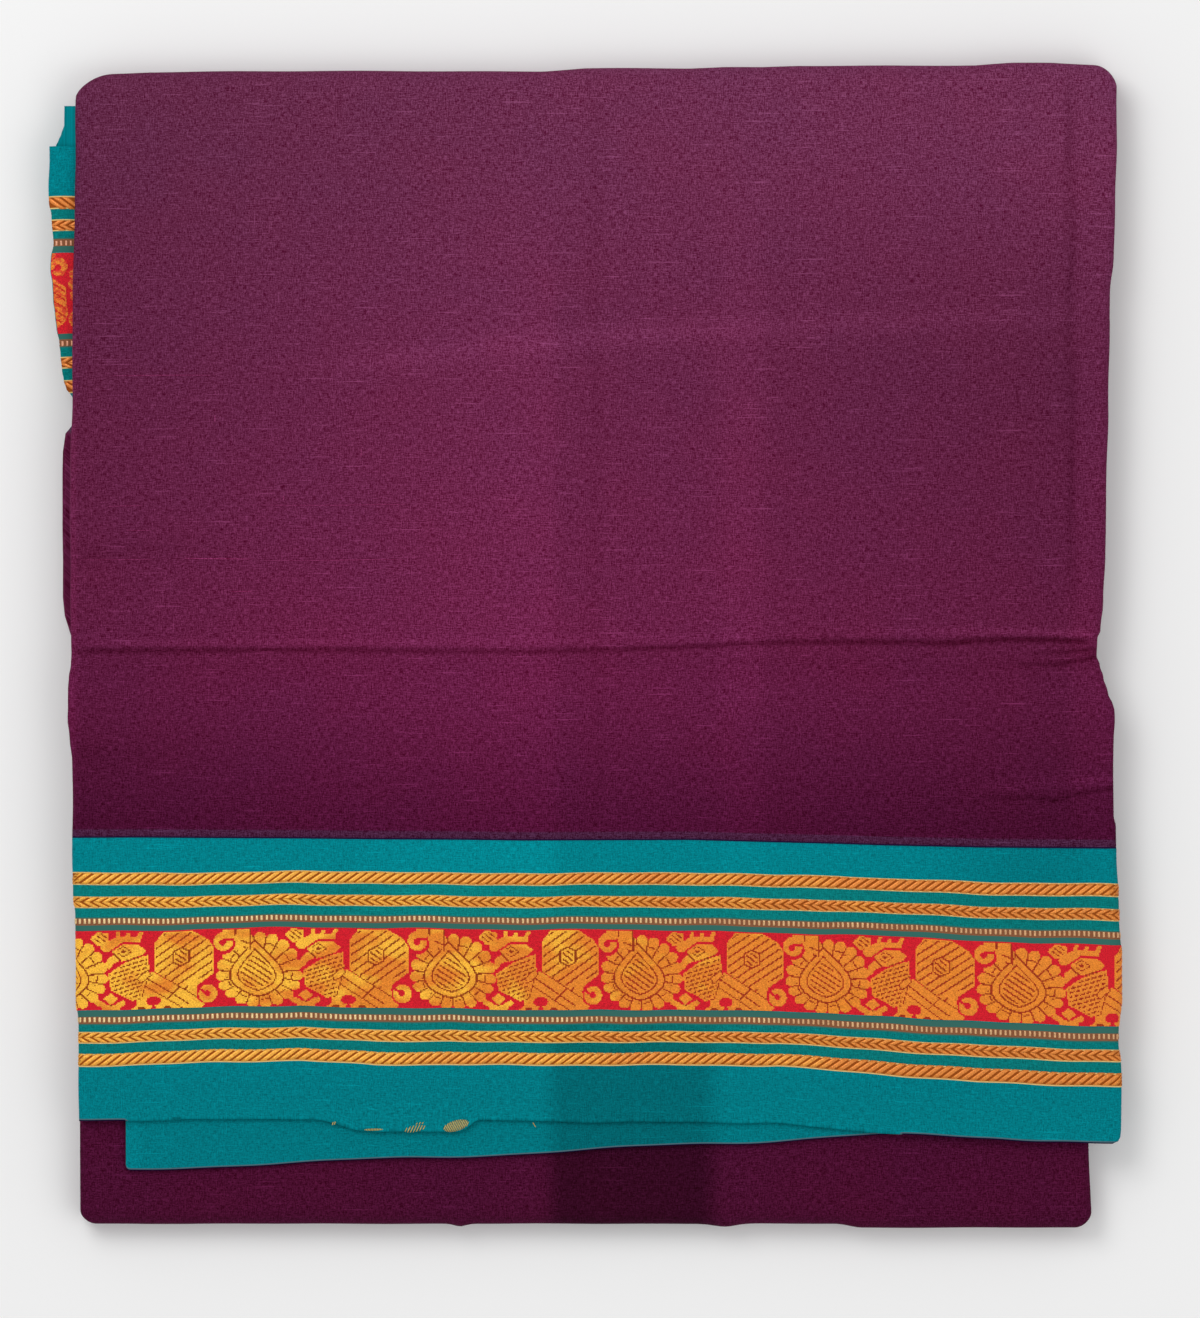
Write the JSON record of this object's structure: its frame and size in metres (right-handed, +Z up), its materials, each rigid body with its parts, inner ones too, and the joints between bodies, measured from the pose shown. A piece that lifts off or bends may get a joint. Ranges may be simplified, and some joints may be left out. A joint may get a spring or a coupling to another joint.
{
  "type": "folded saree",
  "caption": "Cotton saree folded flat: a plain plum field, and a turquoise border with gold lines and a red figured band across the lower part.",
  "frame": {"origin": "middle of the surface that the folded saree covers, at the height of that surface", "axes": "+Z up from the surface, +X along the woven border to the right, +Y from the border towards the top fold"},
  "size_m": [0.3586, 0.3866, 0.02],
  "materials": {
    "field_cloth": "plain woven cotton, plum shot with wine red, a soft low sheen",
    "border_cloth": "turquoise woven cotton with raised gold thread lines and a red figured band",
    "layered_edges": "fold edges of the hidden layers, deep plum"
  },
  "bodies": {
    "root": {"front_field": "field_cloth", "front_border": "border_cloth", "second_border": "border_cloth", "lower_field": "field_cloth", "back_field": "field_cloth", "inner_border": "border_cloth", "inner_border_under": "border_cloth", "folded_layers": "layered_edges"}
  },
  "joints": []
}
